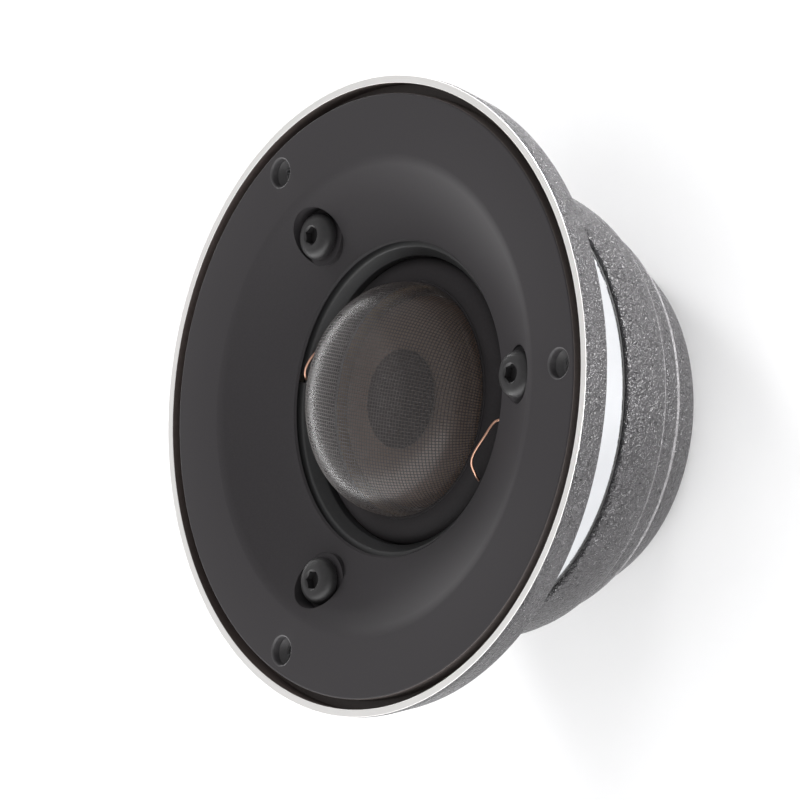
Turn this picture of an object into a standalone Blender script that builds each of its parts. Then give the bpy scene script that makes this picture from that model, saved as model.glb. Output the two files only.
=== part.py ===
"""Car tweeter with a fabric dome, a waveguide face plate and a closed rear chamber.

The tweeter lies face up: its axis is Z, Z = 0 is the flat rim of its rear cup, and the dome looks along +Z.
Lengths are in metres. Angles are in degrees about +Z, from +X, which runs through one mounting hole.
"""
import math

import bmesh
import bpy
from mathutils import Matrix, Vector

MM = 0.001

# Clearances
GAP = 0.3 * MM              # between pieces that touch
FIT = 0.2 * MM              # around the voice coil and in glued joints

# Front: mounting flange and face plate
FRONT_Z = 34.0 * MM         # plane of the flange's bright land and of the face plate
FLANGE_RADIUS = 38.0 * MM
LAND_RADIUS = 37.1 * MM     # inner edge of the bright land
FLANGE_REAR_RADIUS = 37.3 * MM
FLANGE_REAR_Z = 29.6 * MM   # face that seats on the panel
FLANGE_BORE = 27.9 * MM
FLANGE_LEDGE_Z = 31.7 * MM
PLATE_RADIUS = 35.9 * MM
PLATE_HUB_RADIUS = FLANGE_BORE - GAP
CREASE_RADIUS = 27.3 * MM   # where the flat rim of the face plate turns down into the waveguide
CREASE_Z = 33.5 * MM
THROAT_RADIUS = 18.7 * MM
THROAT_Z = 30.0 * MM
WAVEGUIDE_POWER = 1.25      # above 1 makes the waveguide concave

# Three screws hold the plate, three holes mount the tweeter, three screws hold the rear cup
THIRDS = (0, 120, 240)
MOUNT_HOLE_CIRCLE = 33.25 * MM
MOUNT_HOLE_RADIUS = 1.9 * MM
PLATE_SCREW_CIRCLE = 23.9 * MM
POCKET_RADIUS = 3.45 * MM
POCKET_Z = 31.25 * MM
CUP_SCREW_ANGLES = (75, 195, 315)
CUP_SCREW_CIRCLE = 15.4 * MM
COUNTERBORE_RADIUS = 3.05 * MM
COUNTERBORE_DEPTH = 2.4 * MM

# M3 button head screw
SCREW_RADIUS = 1.35 * MM
SCREW_HOLE_RADIUS = 1.7 * MM
HEAD_RADIUS = 2.85 * MM
HEAD_HEIGHT = 1.65 * MM
HEAD_LAND_RADIUS = 1.5 * MM
SOCKET_ACROSS_FLATS = 2.0 * MM
SOCKET_DEPTH = 1.0 * MM
PLATE_SCREW_LENGTH = 5.1 * MM
CUP_SCREW_LENGTH = 12.4 * MM

# Diaphragm
DOME_RADIUS = 14.0 * MM
DOME_BASE_Z = 28.5 * MM
DOME_HEIGHT = 8.9 * MM
DOME_POWER = 2.5            # 2 is an ellipse, more is fuller
DOME_SKIRT = 0.5 * MM
DOME_THICKNESS = 0.35 * MM
FORMER_RADIUS = 13.75 * MM
FORMER_THICKNESS = 0.25 * MM
FORMER_BOTTOM_Z = 22.0 * MM
COIL_THICKNESS = 0.5 * MM
COIL_HEIGHT = 3.1 * MM
SURROUND_THICKNESS = 0.3 * MM
SURROUND_CLAMP_RADIUS = 20.5 * MM
SURROUND_ROLL_RADIUS = 17.1 * MM
SURROUND_CLAMP_Z = 26.7 * MM

# Ring that carries the diaphragm
FRAME_RADIUS = 21.6 * MM
FRAME_BORE = 17.2 * MM
FRAME_BOTTOM_Z = 27.0 * MM
LIP_RADIUS = 18.2 * MM      # top of the sloping lip
LIP_DEPTH = 1.3 * MM
LIP_SLOT_LENGTH = 2.8 * MM  # slots in the lip that let the leads out to their tabs
LIP_SLOT_WIDTH = 1.0 * MM
LIP_SLOT_DEPTH = 0.8 * MM
TAB_ANGLES = (-14, 166)
TAB_CIRCLE = 20.0 * MM
TAB_SIZE = (1.5 * MM, 2.4 * MM, 0.4 * MM)

# Motor
POLE_RADIUS = 13.1 * MM
VENT_RADIUS = 4.6 * MM
YOKE_RADIUS = 22.4 * MM
YOKE_BOTTOM_Z = 11.9 * MM
YOKE_THICKNESS = 3.7 * MM
POLE_TOP_Z = 25.0 * MM
MAGNET_BORE = 16.9 * MM
MAGNET_RADIUS = 23.4 * MM
MAGNET_TOP_Z = 22.1 * MM
TOP_PLATE_BORE = 14.85 * MM
TOP_PLATE_RADIUS = 24.6 * MM
TOP_PLATE_TOP_Z = 25.4 * MM
SHORTING_RING_RADIUS = 16.5 * MM
SHORTING_RING_TOP_Z = 20.6 * MM
CAP_RADIUS = 12.6 * MM
CAP_VENT_RADIUS = 5.0 * MM
CAP_SHOULDER_Z = 26.5 * MM
CAP_TOP_Z = 29.2 * MM
DAMPER_RADIUS = 4.2 * MM
DAMPER_Z = (13.0 * MM, 17.0 * MM)

# Polished shell around the motor
SHELL_RADIUS = 27.0 * MM
SHELL_BORE = 24.9 * MM
SHELL_SHOULDER_Z = 18.9 * MM
SPIGOT_RADIUS = 26.0 * MM
SPIGOT_BOTTOM_Z = 14.3 * MM

# Rear cup, three stepped bands on the outside and a terminal well in its floor
CUP_FRONT_RADIUS = 27.7 * MM
CUP_FRONT_Z = 18.0 * MM
CUP_SOCKET_RADIUS = 26.3 * MM
CUP_SOCKET_Z = 13.9 * MM
CUP_EDGE = 0.4 * MM
RIDGE_HEIGHTS = (11.1 * MM, 6.7 * MM)
RIDGE_RADII = (26.4 * MM, 23.9 * MM)
RIDGE_STEP = 0.5 * MM
CUP_BULGE = 0.45 * MM       # how far the first band swells between its ends
CUP_HEEL_RADIUS = 20.5 * MM
CUP_HEEL_Z = 1.3 * MM
CUP_RIM_RADIUS = 18.9 * MM
CUP_FLOOR_Z = 2.4 * MM
CUP_WALL = 2.2 * MM
WELL_RADIUS = 11.0 * MM
WELL_DEPTH = 7.6 * MM
WELL_WALL = 1.4 * MM
POST_RADIUS = 4.2 * MM
POST_TOP_Z = 11.6 * MM

# Terminals
BOARD_RADIUS = 8.6 * MM
BOARD_THICKNESS = 1.0 * MM
TERMINAL_OFFSET = 3.5 * MM
TERMINAL_THICKNESS = 0.8 * MM
TERMINAL_BOTTOM_Z = 0.7 * MM
STUB_TOP_Z = 10.4 * MM
STUB_WIDTH = 2.0 * MM
POSITIVE_WIDTH = 4.8 * MM
NEGATIVE_WIDTH = 2.8 * MM
RIVET_OFFSET = 6.0 * MM
RIVET_RADIUS = 0.9 * MM

# Wires
LEAD_RADIUS = 0.15 * MM
HOOKUP_RADIUS = 0.35 * MM
NOTCH_WIDTH = 2.2 * MM
NOTCH_RADIUS = 23.5 * MM    # how deep the top plate's notches reach

# Steps around the axis
COARSE = 32
MEDIUM = 44
FINE = 56


def polar(radius, angle, height=0.0):
    """Point at a radius and an angle about the axis."""
    turn = math.radians(angle)
    return Vector((radius * math.cos(turn), radius * math.sin(turn), height))


def material(name, colour, roughness, metallic=0.0):
    """Principled material with one colour."""
    made = bpy.data.materials.new(name)
    made.use_nodes = True
    shader = made.node_tree.nodes["Principled BSDF"]
    shader.inputs["Base Color"].default_value = (*colour, 1.0)
    shader.inputs["Roughness"].default_value = roughness
    shader.inputs["Metallic"].default_value = metallic
    made.diffuse_color = (*colour, 1.0)
    return made


def add_object(name, bm, surface, sharp_angle=35):
    """Turn a bmesh into a named object with outward faces and smooth round sides."""
    bmesh.ops.remove_doubles(bm, verts=bm.verts, dist=1e-7)
    bmesh.ops.recalc_face_normals(bm, faces=bm.faces)
    mesh = bpy.data.meshes.new(name)
    bm.to_mesh(mesh)
    bm.free()
    mesh.shade_smooth()
    mesh.set_sharp_from_angle(angle=math.radians(sharp_angle))
    made = bpy.data.objects.new(name, mesh)
    bpy.context.scene.collection.objects.link(made)
    if surface is not None:
        mesh.materials.append(surface)
    return made


def add_revolved(bm, profile, steps, centre=(0.0, 0.0)):
    """Spin a closed outline of (radius, height) points about a vertical axis."""
    points = [bm.verts.new((radius, 0.0, height)) for radius, height in profile]
    edges = [bm.edges.new((points[i - 1], points[i])) for i in range(len(points))]
    bmesh.ops.spin(bm, geom=points + edges, cent=(0, 0, 0), axis=(0, 0, 1), angle=math.tau, steps=steps,
                   use_merge=True)
    if centre != (0.0, 0.0):
        bmesh.ops.translate(bm, verts=bm.verts, vec=(centre[0], centre[1], 0.0))


def revolve(name, profile, surface, steps):
    """Ring or disc turned about the tweeter's axis."""
    bm = bmesh.new()
    add_revolved(bm, profile, steps)
    return add_object(name, bm, surface)


def ring(name, bore, radius, bottom, top, surface, steps):
    """Plain ring with a rectangular section."""
    return revolve(name, [(bore, bottom), (radius, bottom), (radius, top), (bore, top)], surface, steps)


def add_cylinder(bm, radius, bottom, top, place, steps=24):
    """Upright cylinder standing at a place in plan."""
    matrix = Matrix.Translation((place[0], place[1], (bottom + top) / 2))
    bmesh.ops.create_cone(bm, cap_ends=True, segments=steps, radius1=radius, radius2=radius,
                          depth=top - bottom, matrix=matrix)


def add_box(bm, size, centre, angle=0.0):
    """Box of a size at a centre, turned about Z."""
    matrix = Matrix.Translation(centre) @ Matrix.Rotation(math.radians(angle), 4, "Z") @ Matrix.Diagonal((*size, 1.0))
    bmesh.ops.create_cube(bm, size=1.0, matrix=matrix)


def extrude_outline(bm, outline, step):
    """Fill a flat outline and extrude it by a step."""
    face = bm.faces.new([bm.verts.new(point) for point in outline])
    grown = bmesh.ops.extrude_face_region(bm, geom=[face])
    moved = [item for item in grown["geom"] if isinstance(item, bmesh.types.BMVert)]
    bmesh.ops.translate(bm, verts=moved, vec=step)


def tool(name, fill, operation, target):
    """Hidden shape that a Boolean modifier cuts from, or adds to, its target."""
    bm = bmesh.new()
    fill(bm)
    shape = add_object(name, bm, None)
    shape.hide_render = True
    shape.display_type = "WIRE"
    modifier = target.modifiers.new(name, "BOOLEAN")
    modifier.operation = operation
    modifier.object = shape
    modifier.solver = "EXACT"


def cylinders_at(radius, bottom, top, circle, angles, steps=24):
    """Fill function: equal cylinders on a circle."""
    def fill(bm):
        for angle in angles:
            add_cylinder(bm, radius, bottom, top, polar(circle, angle), steps)
    return fill


def boxes_at(size, circle, height):
    """Fill function: equal boxes on a circle, at the angles of the solder tabs."""
    def fill(bm):
        for angle in TAB_ANGLES:
            add_box(bm, size, polar(circle, angle, height), angle)
    return fill


def waveguide_height(radius):
    """Height of the waveguide's surface at a radius."""
    share = (radius - THROAT_RADIUS) / (CREASE_RADIUS - THROAT_RADIUS)
    return THROAT_Z + (CREASE_Z - THROAT_Z) * share ** WAVEGUIDE_POWER


def dome_outline(radius, height, rows):
    """Superellipse from the rim at the base to the apex on the axis."""
    outline = []
    for row in range(rows + 1):
        angle = math.pi / 2 * row / rows
        out = radius * math.cos(angle) ** (2 / DOME_POWER) if row < rows else 0.0
        up = height * math.sin(angle) ** (2 / DOME_POWER)
        outline.append((out, DOME_BASE_Z + up))
    return outline


def make_flange(surface):
    profile = [
        (FLANGE_BORE, FLANGE_REAR_Z),
        (FLANGE_REAR_RADIUS - 0.3 * MM, FLANGE_REAR_Z),
        (FLANGE_REAR_RADIUS, FLANGE_REAR_Z + 0.3 * MM),
        (FLANGE_RADIUS, FRONT_Z - 0.8 * MM),
        (FLANGE_RADIUS, FRONT_Z - 0.2 * MM),
        (FLANGE_RADIUS - 0.2 * MM, FRONT_Z),
        (LAND_RADIUS, FRONT_Z),
        (LAND_RADIUS, FLANGE_LEDGE_Z),
        (FLANGE_BORE, FLANGE_LEDGE_Z),
    ]
    flange = revolve("mounting_flange", profile, surface, FINE)
    holes = cylinders_at(MOUNT_HOLE_RADIUS, FLANGE_REAR_Z - MM, FRONT_Z, MOUNT_HOLE_CIRCLE, THIRDS)
    tool("flange_holes", holes, "DIFFERENCE", flange)


def make_face_plate(surface):
    bottom = FLANGE_LEDGE_Z + GAP
    dish_rows = 6
    dish = []
    for row in range(dish_rows + 1):
        radius = THROAT_RADIUS + 0.2 * MM + (CREASE_RADIUS - THROAT_RADIUS - 0.2 * MM) * row / dish_rows
        dish.append((radius, waveguide_height(radius)))
    profile = [
        (PLATE_RADIUS, bottom),
        (PLATE_RADIUS, FRONT_Z - 0.3 * MM),
        (PLATE_RADIUS - 0.3 * MM, FRONT_Z),
        (CREASE_RADIUS + 0.9 * MM, FRONT_Z),
        *reversed(dish),
        (THROAT_RADIUS, THROAT_Z - 0.15 * MM),
        (THROAT_RADIUS, FLANGE_REAR_Z),
        (PLATE_HUB_RADIUS, FLANGE_REAR_Z),
        (PLATE_HUB_RADIUS, bottom),
    ]
    plate = revolve("face_plate", profile, surface, FINE)
    above = FRONT_Z + MM
    seats = cylinders_at(POCKET_RADIUS, FLANGE_REAR_Z + 0.4 * MM, POCKET_Z, PLATE_SCREW_CIRCLE, THIRDS)
    pockets = cylinders_at(POCKET_RADIUS, POCKET_Z, above, PLATE_SCREW_CIRCLE, THIRDS)
    screw_holes = cylinders_at(SCREW_HOLE_RADIUS, FLANGE_REAR_Z - MM, above, PLATE_SCREW_CIRCLE, THIRDS)
    mount_holes = cylinders_at(MOUNT_HOLE_RADIUS, FLANGE_REAR_Z - MM, above, MOUNT_HOLE_CIRCLE, THIRDS)
    tool("screw_seats", seats, "UNION", plate)
    tool("screw_pockets", pockets, "DIFFERENCE", plate)
    tool("plate_screw_holes", screw_holes, "DIFFERENCE", plate)
    tool("plate_mount_holes", mount_holes, "DIFFERENCE", plate)


def button_head_screws(name, circle, angles, seat, length, direction, surface):
    """M3 button head screws, whose heads sit at the height seat and look along direction (+1 up, -1 down)."""
    dome_rows = 3
    profile = [
        (0.0, -length),
        (SCREW_RADIUS - 0.3 * MM, -length),
        (SCREW_RADIUS, -length + 0.3 * MM),
        (SCREW_RADIUS, 0.0),
        (HEAD_RADIUS, 0.0),
        (HEAD_RADIUS, 0.3 * MM),
    ]
    for row in range(1, dome_rows + 1):
        angle = math.pi / 2 * row / dome_rows
        out = HEAD_LAND_RADIUS + (HEAD_RADIUS - HEAD_LAND_RADIUS) * math.cos(angle)
        profile.append((out, 0.3 * MM + (HEAD_HEIGHT - 0.3 * MM) * math.sin(angle)))
    profile.append((0.0, HEAD_HEIGHT))
    for number, angle in enumerate(angles, 1):
        bm = bmesh.new()
        add_revolved(bm, profile, 18)
        place = Matrix.Translation(polar(circle, angle, seat)) @ Matrix.Scale(direction, 4, (0, 0, 1))
        bmesh.ops.transform(bm, matrix=place, verts=bm.verts)
        screw = add_object(f"{name}_{number}", bm, surface)
        top = seat + direction * HEAD_HEIGHT
        socket = cylinders_at(SOCKET_ACROSS_FLATS / math.sqrt(3), top - SOCKET_DEPTH, top + SOCKET_DEPTH, circle,
                              (angle,), 6)
        tool(f"{name}_socket_{number}", socket, "DIFFERENCE", screw)


def make_diaphragm(dome_surface, coil_surface, former_surface, surround_surface):
    rows = 7
    outer = dome_outline(DOME_RADIUS, DOME_HEIGHT, rows)
    inner = dome_outline(DOME_RADIUS - DOME_THICKNESS, DOME_HEIGHT - DOME_THICKNESS, rows)
    skirt_z = DOME_BASE_Z - DOME_SKIRT
    profile = [(DOME_RADIUS, skirt_z), *outer, *reversed(inner), (DOME_RADIUS - DOME_THICKNESS, skirt_z)]
    revolve("dome", profile, dome_surface, COARSE)
    ring("coil_former", FORMER_RADIUS - FORMER_THICKNESS, FORMER_RADIUS, FORMER_BOTTOM_Z, skirt_z - GAP,
         former_surface, COARSE)
    coil_bore = FORMER_RADIUS + FIT
    coil_bottom = FORMER_BOTTOM_Z + GAP
    ring("voice_coil", coil_bore, coil_bore + COIL_THICKNESS, coil_bottom, coil_bottom + COIL_HEIGHT,
         coil_surface, COARSE)
    make_surround(surround_surface)


def make_surround(surface):
    """Quarter roll that rises from its clamp under the frame to the skirt of the dome."""
    inner = DOME_RADIUS + FIT
    rise = DOME_BASE_Z - SURROUND_CLAMP_Z
    rows = 4
    top = []
    for row in range(rows + 1):
        angle = math.pi / 2 * row / rows
        top.append((inner + (SURROUND_ROLL_RADIUS - inner) * math.cos(angle), SURROUND_CLAMP_Z + rise * math.sin(angle)))
    bottom = []
    for row in range(rows + 1):
        angle = math.pi / 2 * row / rows
        reach = SURROUND_ROLL_RADIUS - SURROUND_THICKNESS - inner
        lift = rise - SURROUND_THICKNESS
        bottom.append((inner + reach * math.cos(angle), SURROUND_CLAMP_Z + lift * math.sin(angle)))
    bottom[0] = (bottom[0][0], SURROUND_CLAMP_Z - SURROUND_THICKNESS)
    profile = [(SURROUND_CLAMP_RADIUS, SURROUND_CLAMP_Z), *top, *reversed(bottom),
               (SURROUND_CLAMP_RADIUS, SURROUND_CLAMP_Z - SURROUND_THICKNESS)]
    revolve("surround", profile, surface, COARSE)


def make_diaphragm_frame(surface, tab_surface):
    top = FLANGE_REAR_Z - GAP
    profile = [
        (FRAME_BORE, FRAME_BOTTOM_Z),
        (FRAME_RADIUS, FRAME_BOTTOM_Z),
        (FRAME_RADIUS, top),
        (LIP_RADIUS, top),
        (FRAME_BORE, top - LIP_DEPTH),
    ]
    frame = revolve("diaphragm_frame", profile, surface, MEDIUM)
    floor = top - MM
    pocket = (FRAME_RADIUS - LIP_RADIUS, TAB_SIZE[1] + 2 * GAP, 2 * MM)
    middle = (FRAME_RADIUS + LIP_RADIUS) / 2 + 0.8 * MM
    slot = (LIP_SLOT_LENGTH, LIP_SLOT_WIDTH, 2 * LIP_SLOT_DEPTH)
    tool("tab_pockets", boxes_at(pocket, middle, floor + MM), "DIFFERENCE", frame)
    tool("lip_slots", boxes_at(slot, LIP_RADIUS, top), "DIFFERENCE", frame)
    for angle, side in zip(TAB_ANGLES, ("right", "left")):
        bm = bmesh.new()
        add_box(bm, TAB_SIZE, polar(TAB_CIRCLE, angle, floor + GAP + TAB_SIZE[2] / 2), angle)
        add_object("solder_tab_" + side, bm, tab_surface)


def make_motor(steel, ferrite, aluminium, copper, felt):
    plate_top = YOKE_BOTTOM_Z + YOKE_THICKNESS
    profile = [
        (VENT_RADIUS, YOKE_BOTTOM_Z),
        (YOKE_RADIUS, YOKE_BOTTOM_Z),
        (YOKE_RADIUS, plate_top),
        (POLE_RADIUS, plate_top),
        (POLE_RADIUS, POLE_TOP_Z),
        (VENT_RADIUS, POLE_TOP_Z),
    ]
    yoke = revolve("yoke", profile, steel, MEDIUM)
    taps = cylinders_at(SCREW_HOLE_RADIUS, YOKE_BOTTOM_Z - MM, plate_top - 0.6 * MM, CUP_SCREW_CIRCLE,
                        CUP_SCREW_ANGLES, 12)
    tool("yoke_taps", taps, "DIFFERENCE", yoke)
    magnet_bottom = plate_top + GAP
    ring("magnet_ring", MAGNET_BORE, MAGNET_RADIUS, magnet_bottom, MAGNET_TOP_Z, ferrite, MEDIUM)
    ring("shorting_ring", POLE_RADIUS + 2 * FIT, SHORTING_RING_RADIUS, magnet_bottom, SHORTING_RING_TOP_Z,
         aluminium, COARSE)
    top_plate = ring("top_plate", TOP_PLATE_BORE, TOP_PLATE_RADIUS, MAGNET_TOP_Z + GAP, TOP_PLATE_TOP_Z, steel, MEDIUM)
    tool("top_plate_notches", notches(NOTCH_RADIUS, MAGNET_TOP_Z, TOP_PLATE_TOP_Z + MM), "DIFFERENCE", top_plate)
    cap = [(CAP_VENT_RADIUS, POLE_TOP_Z + GAP), (CAP_RADIUS, POLE_TOP_Z + GAP)]
    cap_rows = 4
    for row in range(cap_rows + 1):
        angle = math.pi / 2 * row / cap_rows
        out = CAP_VENT_RADIUS + (CAP_RADIUS - CAP_VENT_RADIUS) * math.cos(angle)
        cap.append((out, CAP_SHOULDER_Z + (CAP_TOP_Z - CAP_SHOULDER_Z) * math.sin(angle)))
    revolve("copper_cap", cap, copper, COARSE)
    bottom, top = DAMPER_Z
    revolve("vent_damper", [(0.0, bottom), (DAMPER_RADIUS, bottom), (DAMPER_RADIUS, top), (0.0, top)], felt, 20)


def notches(inner, bottom, top):
    """Fill function: two slots, open outwards, that let the hook-up wires pass."""
    reach = 3.4 * MM
    return boxes_at((reach, NOTCH_WIDTH, top - bottom), inner + reach / 2, (top + bottom) / 2)


def make_shell(surface):
    top = FLANGE_REAR_Z - GAP
    web_bottom = TOP_PLATE_TOP_Z + GAP
    web_bore = FRAME_RADIUS + GAP
    profile = [
        (SPIGOT_RADIUS, SPIGOT_BOTTOM_Z),
        (SPIGOT_RADIUS, SHELL_SHOULDER_Z),
        (SHELL_RADIUS, SHELL_SHOULDER_Z),
        (SHELL_RADIUS, top - 0.3 * MM),
        (SHELL_RADIUS - 0.3 * MM, top),
        (web_bore, top),
        (web_bore, web_bottom),
        (SHELL_BORE, web_bottom),
        (SHELL_BORE, SPIGOT_BOTTOM_Z),
    ]
    shell = revolve("motor_shell", profile, surface, FINE)
    holes = cylinders_at(SCREW_HOLE_RADIUS, web_bottom - 0.5 * MM, top + MM, PLATE_SCREW_CIRCLE, THIRDS, 16)
    tool("shell_screw_holes", holes, "DIFFERENCE", shell)
    slots = notches(web_bore - 0.5 * MM, web_bottom - 0.5 * MM, top + MM)
    tool("shell_wire_slots", slots, "DIFFERENCE", shell)


def cup_outside():
    """Outline of the cup's outside from its front edge down to its rim."""
    outline = [(CUP_FRONT_RADIUS - CUP_EDGE, CUP_FRONT_Z), (CUP_FRONT_RADIUS, CUP_FRONT_Z - CUP_EDGE)]
    first_rows = 4
    start = outline[-1]
    end = (RIDGE_RADII[0], RIDGE_HEIGHTS[0])
    for row in range(1, first_rows + 1):
        share = row / first_rows
        bulge = 4 * CUP_BULGE * share * (1 - share)
        outline.append((start[0] + (end[0] - start[0]) * share + bulge, start[1] + (end[1] - start[1]) * share))
    outline.append((RIDGE_RADII[0] - RIDGE_STEP, RIDGE_HEIGHTS[0] - 0.4 * MM))
    outline.append((RIDGE_RADII[1], RIDGE_HEIGHTS[1]))
    outline.append((RIDGE_RADII[1] - RIDGE_STEP, RIDGE_HEIGHTS[1] - 0.4 * MM))
    outline.append((CUP_HEEL_RADIUS, CUP_HEEL_Z))
    outline.append((CUP_HEEL_RADIUS - 0.7 * MM, 0.35 * MM))
    outline.append((CUP_RIM_RADIUS, 0.0))
    return outline


def make_cup(surface):
    well_top = WELL_DEPTH + WELL_WALL
    profile = [
        *cup_outside(),
        (WELL_RADIUS, 0.0),
        (WELL_RADIUS, WELL_DEPTH),
        (0.0, WELL_DEPTH),
        (0.0, well_top),
        (WELL_RADIUS + WELL_WALL, well_top),
        (WELL_RADIUS + WELL_WALL, CUP_FLOOR_Z),
        (CUP_HEEL_RADIUS - 1.5 * MM, CUP_FLOOR_Z),
        (RIDGE_RADII[1] - CUP_WALL, RIDGE_HEIGHTS[1]),
        (RIDGE_RADII[0] - CUP_WALL, RIDGE_HEIGHTS[0]),
        (RIDGE_RADII[0] - CUP_WALL + 0.4 * MM, CUP_SOCKET_Z),
        (CUP_SOCKET_RADIUS, CUP_SOCKET_Z),
        (CUP_SOCKET_RADIUS, CUP_FRONT_Z),
    ]
    cup = revolve("rear_cup", profile, surface, MEDIUM)
    posts = cylinders_at(POST_RADIUS, CUP_FLOOR_Z - 0.5 * MM, POST_TOP_Z, CUP_SCREW_CIRCLE, CUP_SCREW_ANGLES, 20)
    bores = cylinders_at(SCREW_HOLE_RADIUS, -MM, POST_TOP_Z + MM, CUP_SCREW_CIRCLE, CUP_SCREW_ANGLES, 16)
    seats = cylinders_at(COUNTERBORE_RADIUS, -MM, COUNTERBORE_DEPTH, CUP_SCREW_CIRCLE, CUP_SCREW_ANGLES, 20)
    tool("screw_posts", posts, "UNION", cup)
    tool("post_bores", bores, "DIFFERENCE", cup)
    tool("head_seats", seats, "DIFFERENCE", cup)
    tool("cup_terminal_slots", board_openings, "DIFFERENCE", cup)


def board_openings(bm):
    """Slots for the two terminals and holes for the two rivets."""
    for side in (-1, 1):
        size = (TERMINAL_THICKNESS + 2 * GAP, STUB_WIDTH + 2 * GAP, 4 * MM)
        add_box(bm, size, (side * TERMINAL_OFFSET, 0.0, WELL_DEPTH))
        add_cylinder(bm, RIVET_RADIUS + GAP, WELL_DEPTH - 2 * MM, WELL_DEPTH + 2 * MM, (0.0, side * RIVET_OFFSET), 12)


def make_terminals(board_surface, tab_surface, rivet_surface):
    board_top = WELL_DEPTH - GAP
    board_bottom = board_top - BOARD_THICKNESS
    board = revolve("terminal_board", [(0.0, board_bottom), (BOARD_RADIUS, board_bottom), (BOARD_RADIUS, board_top),
                                       (0.0, board_top)], board_surface, 32)
    tool("board_slots", board_openings, "DIFFERENCE", board)
    spade("terminal_positive", TERMINAL_OFFSET, POSITIVE_WIDTH, board_bottom - GAP, tab_surface)
    spade("terminal_negative", -TERMINAL_OFFSET, NEGATIVE_WIDTH, board_bottom - GAP, tab_surface)
    low = board_bottom - GAP
    high = WELL_DEPTH + WELL_WALL + GAP
    profile = [
        (0.0, low - 0.8 * MM),
        (1.2 * MM, low - 0.8 * MM),
        (1.8 * MM, low),
        (RIVET_RADIUS, low),
        (RIVET_RADIUS, high),
        (1.6 * MM, high),
        (1.2 * MM, high + 0.6 * MM),
        (0.0, high + 0.6 * MM),
    ]
    for number, side in enumerate((-1, 1), 1):
        bm = bmesh.new()
        add_revolved(bm, profile, 12, (0.0, side * RIVET_OFFSET))
        add_object(f"board_rivet_{number}", bm, rivet_surface)


def spade(name, offset, width, shoulder_z, surface):
    """Flat tab with a pierced blade below its shoulder and a solder stub above it."""
    half = width / 2
    tip = 0.7 * MM
    outline = [
        (half - tip, TERMINAL_BOTTOM_Z),
        (half, TERMINAL_BOTTOM_Z + tip),
        (half, shoulder_z - 0.8 * MM),
        (half + 0.6 * MM, shoulder_z - 0.8 * MM),
        (half + 0.6 * MM, shoulder_z),
        (STUB_WIDTH / 2, shoulder_z),
        (STUB_WIDTH / 2, STUB_TOP_Z),
    ]
    outline += [(-across, height) for across, height in reversed(outline)]
    side = [(offset - TERMINAL_THICKNESS / 2, across, height) for across, height in outline]
    bm = bmesh.new()
    extrude_outline(bm, side, (TERMINAL_THICKNESS, 0.0, 0.0))
    blade = add_object(name, bm, surface)

    def pierce(target):
        turn = Matrix.Translation((offset, 0.0, TERMINAL_BOTTOM_Z + 2.2 * MM)) @ Matrix.Rotation(math.pi / 2, 4, "Y")
        bmesh.ops.create_cone(target, cap_ends=True, segments=12, radius1=0.6 * MM, radius2=0.6 * MM,
                              depth=4 * TERMINAL_THICKNESS, matrix=turn)
    tool(name + "_hole", pierce, "DIFFERENCE", blade)


def make_felt_pads(surface):
    """Three felt pads on the chamber floor, one between each two screw posts."""
    inner = WELL_RADIUS + WELL_WALL + GAP
    outer = CUP_HEEL_RADIUS - 1.5 * MM - GAP
    bottom = CUP_FLOOR_Z + GAP
    top = bottom + 2.5 * MM
    half_span = 38
    rows = 8
    for number, post in enumerate(CUP_SCREW_ANGLES, 1):
        middle = post + 60
        rim = [polar(outer, middle - half_span + 2 * half_span * i / rows, bottom) for i in range(rows + 1)]
        rim += [polar(inner, middle + half_span - 2 * half_span * i / rows, bottom) for i in range(rows + 1)]
        bm = bmesh.new()
        extrude_outline(bm, rim, (0.0, 0.0, top - bottom))
        add_object(f"felt_pad_{number}", bm, surface)


def smooth_route(points, per_span):
    """Catmull-Rom curve through the points of a route."""
    padded = [2 * points[0] - points[1], *points, 2 * points[-1] - points[-2]]
    route = []
    for i in range(1, len(padded) - 2):
        a, b, c, d = padded[i - 1:i + 3]
        for step in range(per_span):
            t = step / per_span
            route.append(0.5 * (2 * b + (c - a) * t + (2 * a - 5 * b + 4 * c - d) * t ** 2
                                + (3 * b - a - 3 * c + d) * t ** 3))
    route.append(points[-1])
    return route


def wire(name, points, radius, surface, per_span=3):
    """Round wire along a smooth route, with closed ends."""
    curve = bpy.data.curves.new(name, "CURVE")
    curve.dimensions = "3D"
    curve.bevel_depth = radius
    curve.bevel_resolution = 2
    curve.render_resolution_u = 0
    curve.use_fill_caps = True
    route = smooth_route(points, per_span)
    spline = curve.splines.new("POLY")
    spline.points.add(len(route) - 1)
    for knot, point in zip(spline.points, route):
        knot.co = (*point, 1.0)
    curve.materials.append(surface)
    bpy.context.scene.collection.objects.link(bpy.data.objects.new(name, curve))


def make_lead_wire(side, turn, surface):
    """Bare lead that leaves its solder tab, loops above the surround and dips to it beside the frame."""
    lip_top = FLANGE_REAR_Z - GAP
    route = [
        polar(18.9 * MM, turn - 14.0, lip_top - 0.4 * MM),
        polar(18.1 * MM, turn - 14.0, lip_top - 0.3 * MM),
        polar(17.2 * MM, turn - 15.5, lip_top + 0.1 * MM),
        polar(16.7 * MM, turn - 22.5, lip_top + 0.6 * MM),
        polar(15.9 * MM, turn - 30.0, lip_top + 0.6 * MM),
        polar(15.8 * MM, turn - 35.0, lip_top + 0.3 * MM),
        polar(16.4 * MM, turn - 39.0, lip_top - 0.5 * MM),
        polar(16.6 * MM, turn - 41.0, lip_top - 1.2 * MM),
    ]
    wire("lead_wire_" + side, route, LEAD_RADIUS, surface, 2)


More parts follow.
